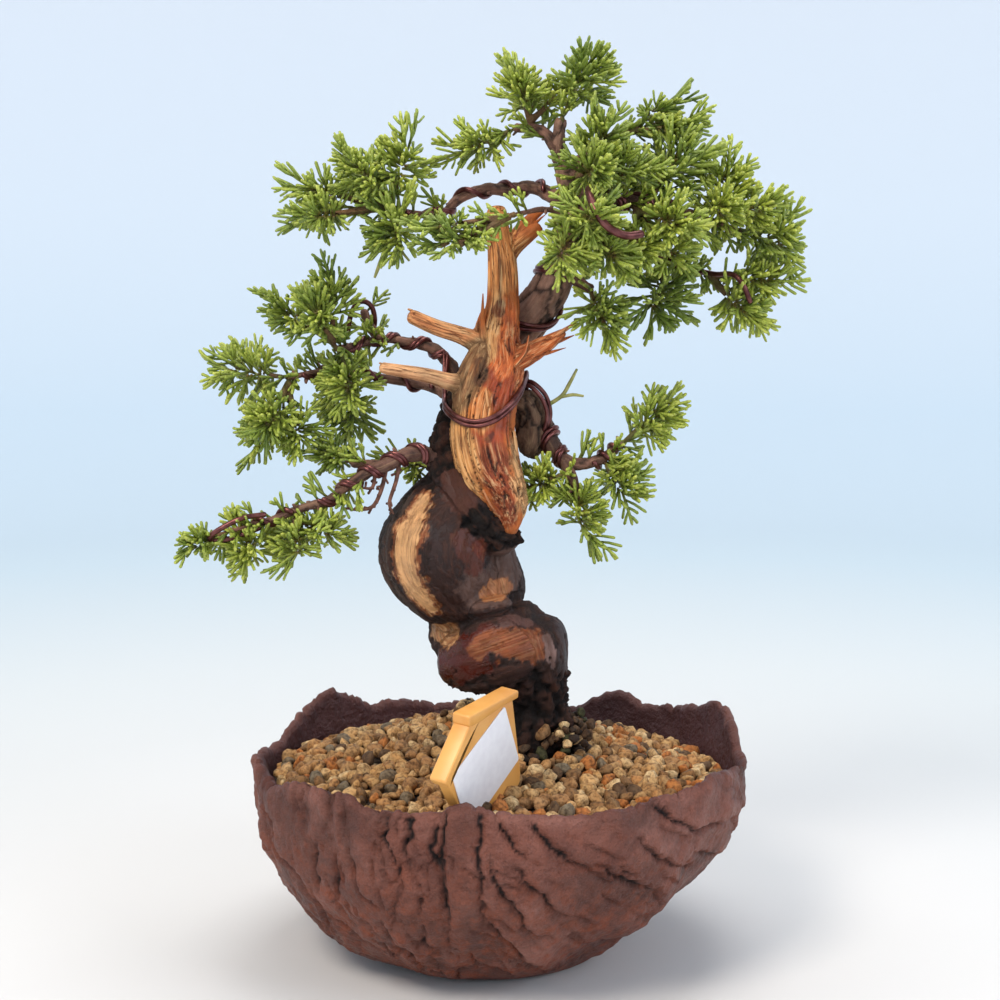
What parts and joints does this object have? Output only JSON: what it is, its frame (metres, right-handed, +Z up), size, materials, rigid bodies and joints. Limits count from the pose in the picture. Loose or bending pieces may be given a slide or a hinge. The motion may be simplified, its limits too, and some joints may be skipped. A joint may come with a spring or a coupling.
{
  "type": "juniper bonsai",
  "caption": "Coiled-trunk juniper bonsai with bare deadwood, wired branches and sprays of cord-like foliage, in a hand-formed bowl of granular soil.",
  "frame": {"origin": "centre of the bowl's flat underside, on the surface that it stands on", "axes": "+Z up through the tree; -Y is the front, where the label leans out; +X is to the right seen from the front"},
  "size_m": [0.2276, 0.1911, 0.3344],
  "materials": {
    "bowl": "unglazed, hand-formed, matt red-brown",
    "soil": "loose rounded baked-clay, pumice and lava grains, matt",
    "net": "moulded mesh",
    "bark": "rough living bark, with smooth bare patches",
    "deadwood": "stripped, splintered grain",
    "leaf": "scale leaves pressed to cord-like shoots, satin",
    "wire": "brown anodised",
    "label": "moulded, slightly translucent",
    "sticker": "matt, bare"
  },
  "bodies": {
    "root": {"bowl": "bowl", "drain_net_left": "net", "drain_net_right": "net", "soil": "soil", "trunk": "bark", "deadwood": "deadwood", "label_tag": "label", "label_sticker": "sticker", "wire_low_pair": "wire", "wire_mid_low": "wire", "wire_low_left": "wire", "wire_low_left_end": "wire", "wire_live_vein": "wire", "wire_up_left": "wire", "wire_crown_low": "wire", "wire_right_low": "wire", "wire_top": "wire", "spray_low_left_a": "leaf", "spray_low_left_b": "leaf", "spray_low_left_c": "leaf", "spray_low_left_d": "leaf", "spray_mid_left_a": "leaf", "spray_mid_left_b": "leaf", "spray_mid_left_c": "leaf", "spray_mid_left_d": "leaf", "spray_mid_left_e": "leaf", "spray_up_left_a": "leaf", "spray_up_left_b": "leaf", "spray_up_left_c": "leaf", "spray_front_shoot": "leaf", "spray_top_a": "leaf", "spray_top_b": "leaf", "spray_top_c": "leaf", "spray_top_d": "leaf", "spray_crown_a": "leaf", "spray_crown_b": "leaf", "spray_crown_c": "leaf", "spray_crown_d": "leaf", "spray_crown_e": "leaf", "spray_crown_f": "leaf", "spray_crown_g": "leaf", "spray_crown_h": "leaf", "spray_crown_i": "leaf", "spray_low_mid": "leaf", "spray_right_a": "leaf", "spray_right_b": "leaf", "spray_right_c": "leaf", "spray_right_d": "leaf", "spray_neck": "leaf"}
  },
  "joints": []
}
